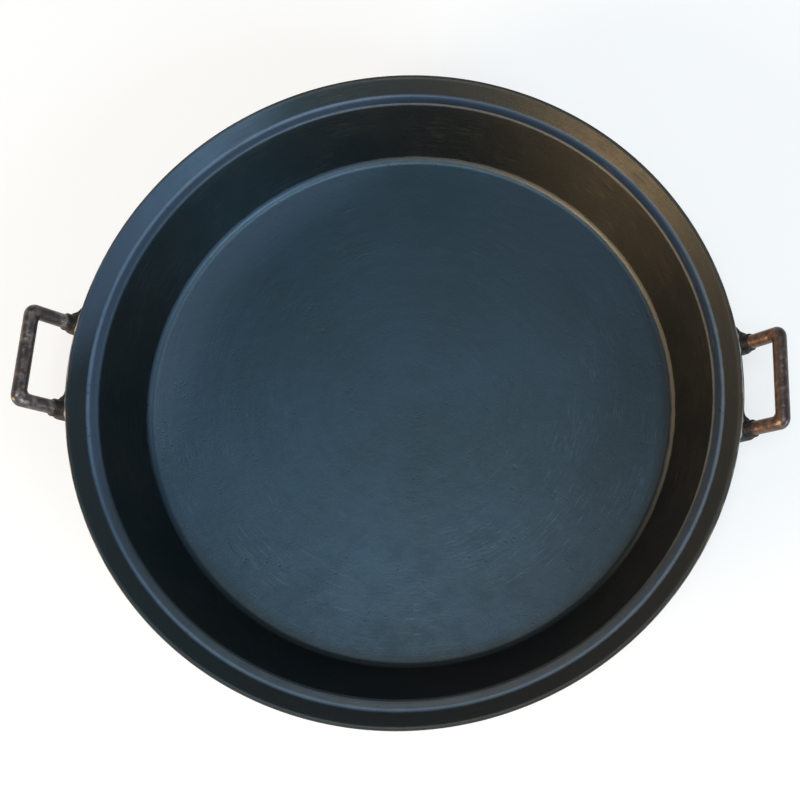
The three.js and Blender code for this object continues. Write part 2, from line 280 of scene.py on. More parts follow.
@dataclass
class Sheet:
    """A node tree that nodes are laid out in and joined, with the coordinates that its effects follow."""

    tree: bpy.types.NodeTree
    place: Socket | None = None

    def add(self, kind: str, inputs: dict | None = None, **settings) -> bpy.types.Node:
        """Adds a node, sets its properties and joins or fills its inputs.

        Args:
            kind: The node's type.
            inputs: For each input's name or number, a socket to join or a value to set.
            **settings: Properties of the node.

        Returns:
            The new node.
        """
        node = self.tree.nodes.new(kind)
        row, column = divmod(len(self.tree.nodes), NODES_ACROSS)
        node.location = (NODE_COLUMN * column, -NODE_ROW * row)
        for name, value in settings.items():
            setattr(node, name, value)
        for name, value in (inputs or {}).items():
            if isinstance(value, Socket):
                self.tree.links.new(value, node.inputs[name])
            else:
                node.inputs[name].default_value = value
        return node

    def sum(self, operation: str, *values: Number) -> Socket:
        """Works out one number from others.

        Args:
            operation: The Math node's operation.
            *values: The numbers.

        Returns:
            The result.
        """
        return self.add("ShaderNodeMath", dict(enumerate(values)), operation=operation).outputs[0]

    times = partialmethod(sum, "MULTIPLY")
    either = partialmethod(sum, "MAXIMUM")

    def rise(self, value: Socket, low: float, high: float, base: float = 0.0) -> Socket:
        """Rises smoothly from 0 at low to 1 at high.

        Args:
            value: Where the curve is read.
            low: Where it leaves 0.
            high: Where it reaches 1.
            base: What low and high are counted from.

        Returns:
            The height of the curve.
        """
        inputs = {"Value": value, "From Min": base + low, "From Max": base + high}
        return self.add("ShaderNodeMapRange", inputs, interpolation_type="SMOOTHSTEP").outputs[0]

    def between(self, share: Socket, first: Number, second: Number) -> Socket:
        """Goes from one number to another.

        Args:
            share: The share of the second number.
            first: The number where the share is 0.
            second: The number where the share is 1.

        Returns:
            The mixed number.
        """
        return self.add("ShaderNodeMix", {0: share, 2: first, 3: second}).outputs[0]

    def mix(self, first: Tone, second: Tone, share: Socket, strength: float = 1.0) -> Socket:
        """Goes from one colour to another.

        Args:
            first: The colour where the share is 0.
            second: The colour where the share is 1.
            share: The share of the second colour.
            strength: What the share is multiplied by.

        Returns:
            The mixed colour.
        """
        if strength != 1.0:
            share = self.times(share, strength)
        return self.add("ShaderNodeMix", {0: share, 6: first, 7: second}, data_type="RGBA").outputs[2]

    def layers(self, base: Tone, *layers: tuple) -> Socket:
        """Lays colours over one another.

        Args:
            base: The lowest colour.
            *layers: For each layer its colour, its share and what the share is multiplied by, if anything.

        Returns:
            The colour that shows.
        """
        return reduce(lambda below, layer: self.mix(below, *layer), layers, base)

    def noise(self, size: float, detail: float = 3.0, roughness: float = 0.55, vector: Socket | None = None) -> Socket:
        """Adds cloud noise.

        Args:
            size: Size of the clouds in metres.
            detail: Number of finer layers.
            roughness: Strength of the finer layers.
            vector: Coordinates, if not the sheet's own.

        Returns:
            The noise, about 0.5 on average.
        """
        inputs = {"Vector": vector or self.place, "Scale": 1 / size, "Detail": detail, "Roughness": roughness}
        return self.add("ShaderNodeTexNoise", inputs).outputs[0]

    def dots(self, scale: float, reach: Pair, patch_size: float, patch_reach: Pair) -> Socket:
        """Dots the surface in patches, one dot to a cell.

        Args:
            scale: Cells to a metre.
            reach: Where a dot begins and where it is full, in cells from the middle of its cell.
            patch_size: Size of the patches in metres.
            patch_reach: Where on their noise the patches begin and where they are full.

        Returns:
            The mask of the dots.
        """
        cells = self.add("ShaderNodeTexVoronoi", {"Vector": self.place, "Scale": scale}).outputs["Distance"]
        patches = self.rise(self.noise(patch_size, detail=1.0), *patch_reach)
        return self.times(self.rise(cells, *reach), patches)

    def parts(self, vector: Socket | None = None) -> bpy.types.bpy_prop_collection:
        """Takes a vector, or else the sheet's place, apart into its three numbers."""
        return self.add("ShaderNodeSeparateXYZ", {0: vector or self.place}).outputs

    def flattened(self) -> tuple[Socket, Socket]:
        """Drops the place onto the floor.

        Returns:
            The place at height 0, and its distance from the pan's axis.
        """
        flat = self.add("ShaderNodeVectorMath", {0: self.place, 1: (1.0, 1.0, 0.0)}, operation="MULTIPLY").outputs[0]
        return flat, self.add("ShaderNodeVectorMath", {0: flat}, operation="LENGTH").outputs["Value"]

    def toward(self, *flanks: Flank) -> Socket:
        """Masks sides of the pan.

        Args:
            *flanks: The sides.

        Returns:
            One mask of them all.
        """
        masks = []
        for heading, low, high in (flank.value for flank in flanks):
            reach = self.add("ShaderNodeVectorMath", {0: self.place, 1: heading}, operation="DOT_PRODUCT")
            masks.append(self.rise(reach.outputs["Value"], low, high))
        return reduce(self.either, masks)

    def surface(self, inputs: dict[str, Tone | float], height: Socket, strength: float, distance: float) -> None:
        """Joins a finish to a Principled shader and the material's output.

        Args:
            inputs: The shader's inputs, except its normal.
            height: The height of the fine relief.
            strength: How strongly the relief shows.
            distance: What a height of 1 is in metres.
        """
        bump = self.add("ShaderNodeBump", {"Strength": strength, "Distance": distance, "Height": height})
        shader = self.add("ShaderNodeBsdfPrincipled", {**inputs, "Normal": bump.outputs[0]})
        self.add("ShaderNodeOutputMaterial", {"Surface": shader.outputs[0]})


@dataclass
class EffectGroup:
    """A shader group with named inputs and outputs that several finishes share."""

    name: str
    inputs: dict[str, float]
    outputs: tuple[str, ...]
    lay_out: Callable[[Sheet, Given], Given]
    tree: bpy.types.NodeTree | None = None

    def built(self) -> bpy.types.NodeTree:
        """Builds the group on first use.

        Returns:
            The group's node tree.
        """
        if self.tree is None:
            self.tree = bpy.data.node_groups.new(self.name, "ShaderNodeTree")
            new_socket = self.tree.interface.new_socket
            new_socket("Place", in_out="INPUT", socket_type="NodeSocketVector")
            for name, value in self.inputs.items():
                new_socket(name, in_out="INPUT", socket_type="NodeSocketFloat").default_value = value
            for name in self.outputs:
                new_socket(name, in_out="OUTPUT", socket_type="NodeSocketFloat")
            sheet = Sheet(self.tree)
            given = sheet.add("NodeGroupInput").outputs
            sheet.place = given["Place"]
            sheet.add("NodeGroupOutput", self.lay_out(sheet, {name: given[name] for name in self.inputs}))
        return self.tree

    def use(self, sheet: Sheet, **values: float) -> Given:
        """Places the group in a material.

        Args:
            sheet: The material's sheet.
            **values: Values of the group's inputs.

        Returns:
            The group's outputs by name.
        """
        inputs = {name.capitalize(): value for name, value in values.items()}
        node = sheet.add("ShaderNodeGroup", {"Place": sheet.place, **inputs}, node_tree=self.built())
        return {name: node.outputs[name] for name in self.outputs}


# A size is in metres. A reach is where on its noise or distance an effect begins and where it is full.

LUMP_SIZE = 0.009
GRAIN_SIZE = 0.0016
PITS_TO_METRE = 210.0
PIT_REACH = (0.26, 0.1)
PIT_PATCH_SIZE = 0.02
PIT_PATCH_REACH = (0.45, 0.7)
DENTS_TO_METRE = 42.0
DENT_REACH = (0.12, 0.03)
DENT_PATCH_SIZE = 0.03
DENT_PATCH_REACH = (0.55, 0.68)
CLOUD_SIZE = 0.11
CLOUD_REACH = (0.3, 0.7)
BLOTCH_SIZE = 0.018
BLOTCH_REACH = (0.42, 0.66)
WANDER_SIZE = 0.06
MARK_RISE = 0.5
MARKS_UP_WALL = 1.7
MARK_PATCH_SIZE = 0.045
MARK_PATCH_REACH = (0.42, 0.62)
STROKE_REACH = (0.52, 0.78)
GROOVE_REACH = (0.41, 0.26)
STRIP_PATCH_SIZE = 0.012
STRIP_REACH = (1.0, 0.25)


def lay_cast_grain(sheet: Sheet, given: Given) -> Given:
    """Lays out the sand-cast skin: soft lumps, fine grain and a few pits.

    Args:
        sheet: The group's sheet.
        given: The strengths of the three.

    Returns:
        The height of the skin and a mask of its pits.
    """
    lumps = sheet.times(sheet.noise(LUMP_SIZE, detail=2.0), given["Lumps"])
    grain = sheet.noise(GRAIN_SIZE, detail=4.0, roughness=0.65)
    raised = sheet.sum("MULTIPLY_ADD", grain, given["Grain"], lumps)
    pit = sheet.dots(PITS_TO_METRE, PIT_REACH, PIT_PATCH_SIZE, PIT_PATCH_REACH)
    return {"Height": sheet.sum("SUBTRACT", raised, sheet.times(pit, given["Pits"])), "Pit": pit}


def lay_turning_marks(sheet: Sheet, given: Given) -> Given:
    """Lays out the marks that a turning tool left round the pan's axis.

    Args:
        sheet: The group's sheet.
        given: How far the marks wander.

    Returns:
        The height of the marks, their slow change of tone, and short bright and dark strokes along them.
    """
    flat, radius = sheet.flattened()
    out = sheet.sum("ADD", radius, sheet.times(sheet.noise(WANDER_SIZE, detail=2.0), given["Wander"]))
    east, north, _ = sheet.parts(sheet.add("ShaderNodeVectorMath", {0: flat}, operation="NORMALIZE").outputs[0])
    row = sheet.sum("MULTIPLY_ADD", sheet.parts()[2], MARKS_UP_WALL, out)

    def ringed(around: float, across: float, detail: float) -> Socket:
        """Adds noise drawn out round the axis, with around marks to a turn and across metres wide."""
        ring = {0: sheet.times(east, around), 1: sheet.times(north, around), 2: sheet.times(row, 1 / across)}
        return sheet.noise(1.0, detail, 0.6, sheet.add("ShaderNodeCombineXYZ", ring).outputs[0])

    patchy = sheet.rise(sheet.noise(MARK_PATCH_SIZE, detail=2.0), *MARK_PATCH_REACH)
    stroke = sheet.times(sheet.rise(ringed(around=10.0, across=0.0011, detail=3.0), *STROKE_REACH), patchy)
    groove = sheet.times(sheet.rise(ringed(around=8.0, across=0.0014, detail=2.0), *GROOVE_REACH), patchy)
    raised = sheet.sum("MULTIPLY_ADD", stroke, MARK_RISE, ringed(around=1.1, across=0.0012, detail=2.0))
    raised = sheet.sum("MULTIPLY_ADD", groove, -MARK_RISE, raised)
    tone = ringed(around=1.6, across=0.007, detail=3.0)
    return {"Height": raised, "Tone": tone, "Stroke": stroke, "Groove": groove}


def lay_edge_strip(sheet: Sheet, given: Given) -> Given:
    """Lays out a strip along one round edge of the pan, for worn metal and painted highlights.

    Args:
        sheet: The group's sheet.
        given: The edge's radius and height, and the width and patchiness of the strip.

    Returns:
        A mask of the strip.
    """
    out = sheet.sum("SUBTRACT", sheet.flattened()[1], given["Radius"])
    up = sheet.sum("SUBTRACT", sheet.parts()[2], given["Height"])
    away = sheet.sum("SQRT", sheet.sum("MULTIPLY_ADD", out, out, sheet.times(up, up)))
    uneven = sheet.sum("MULTIPLY_ADD", sheet.noise(STRIP_PATCH_SIZE), given["Patchiness"], 1.0)
    uneven = sheet.sum("MULTIPLY_ADD", given["Patchiness"], -0.5, uneven)
    return {"Wear": sheet.rise(sheet.sum("DIVIDE", away, sheet.times(given["Width"], uneven)), *STRIP_REACH)}


def lay_mottle(sheet: Sheet, _: Given) -> Given:
    """Lays out the uneven tone of a seasoned surface.

    Args:
        sheet: The group's sheet.

    Returns:
        Shares for its broad clouds, its blotches and its small dents.
    """
    return {
        "Clouds": sheet.rise(sheet.noise(CLOUD_SIZE), *CLOUD_REACH),
        "Blotches": sheet.rise(sheet.noise(BLOTCH_SIZE, detail=5.0, roughness=0.62), *BLOTCH_REACH),
        "Dents": sheet.dots(DENTS_TO_METRE, DENT_REACH, DENT_PATCH_SIZE, DENT_PATCH_REACH),
    }


CAST_GRAIN = EffectGroup("Cast grain", {"Grain": 1.0, "Lumps": 1.0, "Pits": 0.5}, ("Height", "Pit"), lay_cast_grain)
TURNED = EffectGroup("Turning marks", {"Wander": 0.002}, ("Height", "Tone", "Stroke", "Groove"), lay_turning_marks)
RING = {"Radius": 0.25, "Height": 0.075, "Width": 0.002, "Patchiness": 0.5}
EDGE_STRIP = EffectGroup("Ring wear", RING, ("Wear",), lay_edge_strip)
MOTTLE = EffectGroup("Mottle", {}, ("Clouds", "Blotches", "Dents"), lay_mottle)


def new_sheet(name: str) -> tuple[bpy.types.Material, Sheet]:
    """Makes an empty node material.

    Args:
        name: Name of the material.

    Returns:
        The material and its sheet.
    """
    material = bpy.data.materials.new(name)
    material.use_nodes = True
    material.node_tree.nodes.clear()
    return material, Sheet(material.node_tree)


@dataclass(frozen=True)
class HandleFinish:
    """Brown-black cast iron that hands and heat have rubbed, for the loops and the beads.

    The painted warm reflection on the arms, in copper-brown, fades in between the two places along X of arms_begin,
    and out between those of arms_end, so only the right handle has it. Its share and the roughness are for the coarse
    and for the fine spots.
    """

    name: str = "Handle iron"
    dark: Colour = srgb(66, 59, 58)
    light: Colour = srgb(134, 122, 117)
    rust: Colour = srgb(94, 72, 58)
    rust_share: float = 0.3
    bronze_reflection: Colour = srgb(128, 86, 52)
    bronze_reflection_share: Pair = (0.12, 0.6)
    grip_share: float = 0.12
    arms_begin: Pair = (0.250, 0.257)
    arms_end: Pair = (0.2655, 0.2725)
    fine_size: float = 0.004
    fine_reach: Pair = (0.35, 0.7)
    rust_size: float = 0.014
    rust_reach: Pair = (0.5, 0.72)
    metallic: float = 0.6
    roughness: Pair = (0.3, 0.42)
    grain: float = 1.0

    def material(self) -> bpy.types.Material:
        """Builds the finish, with a painted warm reflection in copper-brown on the arms of the right handle.

        Returns:
            The material.
        """
        material, sheet = new_sheet(self.name)
        sheet.place = sheet.add("ShaderNodeTexCoord").outputs["Object"]
        grain = CAST_GRAIN.use(sheet, grain=self.grain, lumps=1.5, pits=0.6)
        fine = sheet.rise(sheet.noise(self.fine_size, detail=4.0), *self.fine_reach)
        across = sheet.parts()[0]
        grip = sheet.between(sheet.rise(across, *self.arms_end), 1.0, self.grip_share)
        arms = sheet.times(sheet.rise(across, *self.arms_begin), grip)
        colour = sheet.layers(
            self.dark,
            (self.light, sheet.times(MOTTLE.use(sheet)["Blotches"], fine)),
            (self.rust, sheet.rise(sheet.noise(self.rust_size, detail=4.0), *self.rust_reach), self.rust_share),
            # Painted warm reflection on the right handle's arms.
            (self.bronze_reflection, sheet.times(arms, sheet.between(fine, *self.bronze_reflection_share))),
            (self.dark, grain["Pit"]),
        )
        roughness = sheet.between(fine, *self.roughness)
        inputs = {"Base Color": colour, "Metallic": self.metallic, "Roughness": roughness}
        sheet.surface(inputs, grain["Height"], strength=0.55, distance=0.00035)
        return material


class Edge(Enum):
    """The round edges of the pan that its finish follows."""

    FLOOR = "edge of the floor"
    MOUTH = "inner edge of the ledge"
    FOOT = "foot of the collar"
    LIP = "inner edge of the lip"
    RIM = "outer edge of the lip"


Edges = dict[Edge, Pair]
# Colours of polish, worn metal and bare metal, also used to paint highlights: polish for cool ones, worn metal for
# warm ones and bare metal for the glint on the rim.
POLISH_AND_COOL_HIGHLIGHT = srgb(96, 114, 132)
WORN_AND_WARM_HIGHLIGHT = srgb(150, 142, 128)
BARE_AND_HIGHLIGHT = srgb(196, 186, 174)


@dataclass(frozen=True)
class EdgeWearAndHighlight:
    """Worn metal and painted highlight along or beside one edge, with a tone for the left and one for the right,
    stronger on the flanks where light falls.
    """

    edge: Edge
    tones: tuple[Colour, Colour]
    flanks: tuple[Flank, ...]
    share: Pair
    width: float
    patchiness: float
    out: float = 0.0
    up: float = 0.0

    def over(self, colour: Socket, sheet: Sheet, edges: Edges) -> Socket:
        """Lays the worn metal and its painted highlight over a colour.

        Args:
            colour: The colour below.
            sheet: The material's sheet.
            edges: Radius and height of each edge.

        Returns:
            The worn colour.
        """
        radius, height = (edge + beside for edge, beside in zip(edges[self.edge], (self.out, self.up)))
        ring = EDGE_STRIP.use(sheet, radius=radius, height=height, width=self.width, patchiness=self.patchiness)
        strength = sheet.between(sheet.toward(*self.flanks), *self.share)
        tone = sheet.mix(*self.tones, sheet.toward(Flank.RIGHT))
        return sheet.mix(colour, tone, sheet.times(ring["Wear"], strength))


HANDLES = (Flank.RIGHT_HANDLE, Flank.LEFT_HANDLE)
REAR = (Flank.REAR_RIGHT, Flank.REAR_LEFT)
COOL_SIDES = (Flank.NEAR, Flank.REAR_LEFT)
# Worn edges with painted highlights, stronger on the flanks where light falls. The strip on the rim by the handles is
# partly bare metal and partly a painted glint; the inner edge of the lip is worn metal laid only on the rear right;
# the lines along the mouth and the floor's edge are painted highlights, cool on the left and warm on the right; the
# line at the collar's foot is a cool painted highlight.
WORN_AND_LIT_EDGES = (
    EdgeWearAndHighlight(Edge.LIP, (WORN_AND_WARM_HIGHLIGHT, WORN_AND_WARM_HIGHLIGHT), (Flank.REAR_RIGHT,), (0.0, 0.05), 0.0022, 0.7, 0.0004),
    EdgeWearAndHighlight(Edge.RIM, (BARE_AND_HIGHLIGHT, BARE_AND_HIGHLIGHT), HANDLES, (0.06, 0.75), 0.0017, 1.1, -0.0004, -0.0014),
    EdgeWearAndHighlight(Edge.MOUTH, (POLISH_AND_COOL_HIGHLIGHT, WORN_AND_WARM_HIGHLIGHT), (Flank.REAR_RIGHT,), (0.04, 0.22), 0.0016, 1.2),
    EdgeWearAndHighlight(Edge.FLOOR, (POLISH_AND_COOL_HIGHLIGHT, WORN_AND_WARM_HIGHLIGHT), REAR, (0.0, 0.3), 0.0034, 0.9, 0.001, 0.0028),
    EdgeWearAndHighlight(Edge.FOOT, (POLISH_AND_COOL_HIGHLIGHT, POLISH_AND_COOL_HIGHLIGHT), COOL_SIDES, (0.16, 0.62), 0.0018, 0.7, -0.0006, 0.0008),
)


@dataclass(frozen=True)
class PanFinish:
    """Blue-black seasoned iron, turned inside and left as cast outside.

    Of two shares or depths, the first is off the mask that they follow and the second is on it. The places
    where a zone or a reach begins and is full are radii or heights, or are counted from the edge beside it.
    """

    name: str = "Pan iron"

    floor_tone: Colour = srgb(45, 65, 80)
    floor_dark: Colour = srgb(41, 60, 71)
    groove_tone: Colour = srgb(24, 37, 46)
    corner_shade: Colour = srgb(24, 25, 22)
    wall_tone: Colour = srgb(8, 10, 12)
    brown: Colour = srgb(54, 47, 30)
    stroke_tone: Colour = srgb(88, 80, 60)
    ledge_tone: Colour = srgb(32, 50, 70)
    ledge_inner: Colour = srgb(13, 22, 33)
    ledge_lit: Colour = srgb(44, 60, 80)
    collar_tone: Colour = srgb(27, 28, 28)
    collar_blue: Colour = srgb(54, 62, 77)
    outside_tone: Colour = srgb(23, 22, 22)
    cool_sheen: Colour = (0.5, 0.86, 1.0, 1.0)
    warm_sheen: Colour = (0.93, 0.855, 0.71, 1.0)

    metallic: Pair = (0.0, 0.55)
    gloss: Pair = (0.43, 0.5)
    roughness: Pair = (0.46, 0.5)
    cast_roughness: float = 0.7
    marks_depth: Pair = (0.85, 0.2)
    dents_depth: float = 0.8

    wall_half: float = 0.0028
    collar_half: float = 0.0016
    outside_seam: Pair = (-0.0003, 0.0003)
    below_ledge: Pair = (-0.0035, -0.0030)
    above_ledge: Pair = (0.0006, 0.0016)
    below_floor: Pair = (-0.002, -0.004)
    above_floor: Pair = (0.0045, 0.0002)
    past_mouth: Pair = (-0.001, 0.0006)

    corner_reach: Pair = (-0.013, -0.001)
    corner_share: float = 0.72
    marks_reach: Pair = (0.04, 0.17)
    marks_near: Pair = (0.3, 1.0)
    groove_share: Pair = (0.15, 0.6)
    stroke_share: Pair = (0.06, 0.42)
    lit_wall_strokes: Pair = (0.1, 0.34)
    near_shade_reach: Pair = (0.12, 0.2)
    near_shade_share: float = 0.38
    rear_highlight_reach: Pair = (0.15, 0.204)
    rear_highlight_share: float = 0.28
    blotch_share: float = 0.04
    ledge_inset: float = 0.0008
    ledge_near: float = 0.5
    ledge_rear: float = 0.8
    brown_share: float = 0.12
    tone_reach: Pair = (0.35, 0.7)
    tone_share: float = 0.07
    pit_share: Pair = (0.6, 0.1)
    level_plain: float = 0.5

    def zones(self, sheet: Sheet, edges: Edges) -> Given:
        """Masks the parts of the pan by their places on its profile.

        Args:
            sheet: The material's sheet.
            edges: Radius and height of each edge.

        Returns:
            The masks of the outside, the floor, the ledge and the collar.
        """
        radius, height = sheet.flattened()[1], sheet.parts()[2]
        _, floor_height = edges[Edge.FLOOR]
        mouth_radius, ledge_height = edges[Edge.MOUTH]

        def middle(low: Edge, high: Edge, half: float) -> Socket:
            """Follows the middle of the metal between two edges of its inside.

            Args:
                low: The lower edge.
                high: The upper edge.
                half: Half of the metal's thickness.

            Returns:
                The radius of the middle at each height.
            """
            (low_radius, low_height), (high_radius, high_height) = edges[low], edges[high]
            slope = (high_radius - low_radius) / (high_height - low_height)
            return sheet.sum("MULTIPLY_ADD", height, slope, low_radius + half - slope * low_height)

        above = sheet.rise(height, *self.below_ledge, base=ledge_height)
        wall, collar = middle(Edge.FLOOR, Edge.MOUTH, self.wall_half), middle(Edge.FOOT, Edge.LIP, self.collar_half)
        beyond = sheet.rise(sheet.sum("SUBTRACT", radius, sheet.between(above, wall, collar)), *self.outside_seam)
        return {
            "Outside": sheet.either(beyond, sheet.rise(height, *self.below_floor, base=floor_height)),
            "Floor": sheet.rise(height, *self.above_floor, base=floor_height),
            "Ledge": sheet.rise(radius, *self.past_mouth, base=mouth_radius),
            "Collar": sheet.rise(height, *self.above_ledge, base=ledge_height),
        }

    def inside(self, sheet: Sheet, edges: Edges, zones: Given, effects: Given) -> Socket:
        """Colours the floor, the wall, the ledge and the collar.

        Args:
            sheet: The material's sheet.
            edges: Radius and height of each edge.
            zones: The masks of the parts.
            effects: The mottle and the turning marks.

        Returns:
            The colour.
        """
        floor_radius, mouth_radius, foot_radius = (edges[edge][0] for edge in (Edge.FLOOR, Edge.MOUTH, Edge.FOOT))
        radius, on_floor = sheet.flattened()[1], zones["Floor"]
        near, rear_left = sheet.toward(Flank.NEAR), sheet.toward(Flank.REAR_LEFT)
        corner = sheet.rise(radius, *self.corner_reach, base=floor_radius)
        marked = sheet.times(sheet.rise(radius, *self.marks_reach), sheet.between(near, *self.marks_near))
        floor = sheet.layers(
            self.floor_tone,
            (self.floor_dark, effects["Clouds"]),
            (self.wall_tone, effects["Blotches"], self.blotch_share),
            (self.groove_tone, sheet.times(effects["Groove"], sheet.between(marked, *self.groove_share))),
            (POLISH_AND_COOL_HIGHLIGHT, sheet.times(effects["Stroke"], sheet.between(marked, *self.stroke_share))),
            # Painted shade on the outer floor towards the near side, in the groove colour.
            (self.groove_tone, sheet.times(sheet.rise(radius, *self.near_shade_reach), near), self.near_shade_share),
            # Painted highlight on the outer floor towards the rear left, in the polish colour.
            (POLISH_AND_COOL_HIGHLIGHT, sheet.times(sheet.rise(radius, *self.rear_highlight_reach), rear_left), self.rear_highlight_share),
            (self.corner_shade, sheet.times(corner, near), self.corner_share),
        )
        ledge = sheet.layers(
            self.ledge_inner,
            (self.ledge_tone, sheet.rise(radius, mouth_radius + self.ledge_inset, foot_radius - self.ledge_inset)),
            # Painted shade on the near side of the ledge, in the wall's colour, and painted light on its rear left.
            (self.wall_tone, near, self.ledge_near),
            (self.ledge_lit, rear_left, self.ledge_rear),
        )
        # Painted cool reflection on the left of the collar.
        collar = sheet.mix(self.collar_tone, self.collar_blue, sheet.toward(Flank.LEFT_COLLAR))
        # The wall's turning marks are real; a painted highlight makes them brighter on the rear right.
        lit_wall_strokes = sheet.between(sheet.toward(Flank.REAR_RIGHT), *self.lit_wall_strokes)
        strokes = sheet.times(effects["Stroke"], sheet.between(on_floor, lit_wall_strokes, 0.0))
        return sheet.layers(
            self.wall_tone,
            (self.brown, effects["Clouds"], self.brown_share),
            (floor, on_floor),
            (ledge, zones["Ledge"]),
            (collar, zones["Collar"]),
            # Turning marks on the wall, with their painted highlight on the rear right.
            (self.stroke_tone, strokes),
            (self.wall_tone, sheet.rise(effects["Tone"], *self.tone_reach), self.tone_share),
        )

    def material(self, edges: Edges) -> bpy.types.Material:
        """Builds the finish. Its specular tint is painted reflection, cool on the left and warm brown on the right.

        Args:
            edges: Radius and height of each edge.

        Returns:
            The material.
        """
        material, sheet = new_sheet(self.name)
        sheet.place = sheet.add("ShaderNodeTexCoord").outputs["Object"]
        zones = self.zones(sheet, edges)
        outside, on_floor = zones["Outside"], zones["Floor"]
        effects = {**MOTTLE.use(sheet), **TURNED.use(sheet, wander=0.0016)}
        grain = CAST_GRAIN.use(sheet, grain=0.6, lumps=0.8, pits=0.5)
        rough_grain = CAST_GRAIN.use(sheet, grain=1.3, lumps=1.8, pits=0.9)

        colour = sheet.mix(self.inside(sheet, edges, zones, effects), self.outside_tone, outside)
        # Lays the worn edges and their painted highlights.
        for edge_mark in WORN_AND_LIT_EDGES:
            colour = edge_mark.over(colour, sheet, edges)
        pits = sheet.times(grain["Pit"], sheet.between(on_floor, *self.pit_share))
        colour = sheet.mix(colour, self.outside_tone, pits)

        level = sheet.either(on_floor, sheet.sum("SUBTRACT", zones["Ledge"], zones["Collar"]))
        plain = sheet.either(outside, sheet.times(level, self.level_plain))
        # Painted reflection colour in the specular tint: cool on the left and warm on the right, going to white on the
        # outside and halfway to it on the floor and ledge.
        sheen = sheet.layers(self.cool_sheen, (self.warm_sheen, sheet.toward(Flank.RIGHT)), (WHITE, plain))
        turned = sheet.times(effects["Height"], sheet.between(on_floor, *self.marks_depth))
        turned = sheet.sum("ADD", turned, grain["Height"])
        turned = sheet.sum("MULTIPLY_ADD", effects["Dents"], -self.dents_depth, turned)
        smooth = sheet.between(effects["Blotches"], *self.roughness)
        inputs = {
            "Base Color": colour,
            "Metallic": sheet.between(on_floor, *self.metallic),
            "Roughness": sheet.between(outside, smooth, self.cast_roughness),
            "Specular Tint": sheen,
            "Specular IOR Level": sheet.between(on_floor, *self.gloss),
        }
        height = sheet.between(outside, turned, rough_grain["Height"])
        sheet.surface(inputs, height, strength=0.5, distance=0.0003)
        return material


# The pan and its lugs

RAY_STEP = 0.0005
RAY_LENGTH = 0.04
RAY_HALVINGS = 14

# Rays that fan out from under the collar: the share of the way from the first of them to the lip,
# and the radius and height in millimetres of where the ray starts and of where it aims.
FAN = (
    (0.00, 220.7, 30.7, 230.1, 27.1),
    (0.12, 224.6, 41.0, 236.0, 33.0),
    (0.25, 228.7, 52.0, 240.0, 36.0),
    (0.40, 236.0, 59.5, 247.0, 38.0),
    (0.55, 242.0, 63.0, 262.0, 46.0),
    (0.70, 245.5, 66.0, 272.0, 58.0),
    (0.80, 246.5, 67.5, 272.0, 67.0),
    (0.90, 247.3, 69.5, 266.0, 77.0),
    (1.00, 248.6, 73.0, 254.2, 75.8),
)


@dataclass(frozen=True)
class ArmLine:
    """The sloping plane that one handle loop lies in, beside the lip of the pan."""

    side: Side
    rim_radius: float = 0.250
    lip_bottom: float = 0.072
    pitch: float = 57.0
    spacing: float = 0.066
    bar_diameter: float = 0.0105
    clearance: float = 0.0008
    seat_rise: float = 0.0015

    @property
    def label(self) -> str:
        """Word for the side, as the pieces' names begin."""
        return self.side.name.lower()

    @property
    def up(self) -> Vector:
        """Direction in which the arms rise."""
        turn = math.radians(self.pitch)
        return Vector((self.side.value * math.cos(turn), 0.0, math.sin(turn)))

    @property
    def out(self) -> Vector:
        """Direction square to the loop, away from the pan and downwards."""
        turn = math.radians(self.pitch)
        return Vector((self.side.value * math.sin(turn), 0.0, -math.cos(turn)))

    @property
    def beside_lip(self) -> Vector:
        """Where the middle of the loop's plane passes the lip."""
        rim = math.sqrt(self.rim_radius**2 - (self.spacing / 2) ** 2)
        corner = Vector((self.side.value * rim, 0.0, self.lip_bottom))
        return corner + self.out * (self.bar_diameter / 2 + self.clearance)

    def spot(self, along: float, across: float, out: float = 0.0) -> Vector:
        """Finds a point given from the lip.

        Args:
            along: Distance up the arms.
            across: Distance from the middle of the loop, towards the rear.
            out: Distance from the plane of the loop.

        Returns:
            The point in the part's frame.
        """
        return self.beside_lip + self.up * along + self.out * out + Vector((0.0, across, 0.0))

    def round_pan(self, places: Points) -> tuple[Points, Points]:
        """Gives points by their places round the pan.

        Args:
            places: The points, in the part's frame.

        Returns:
            Their distances from the pan's axis, and along the rim from the middle of this side to the rear.
        """
        angle = np.arctan2(places[:, 1], self.side.value * places[:, 0])
        return np.hypot(places[:, 0], places[:, 1]), angle * self.rim_radius


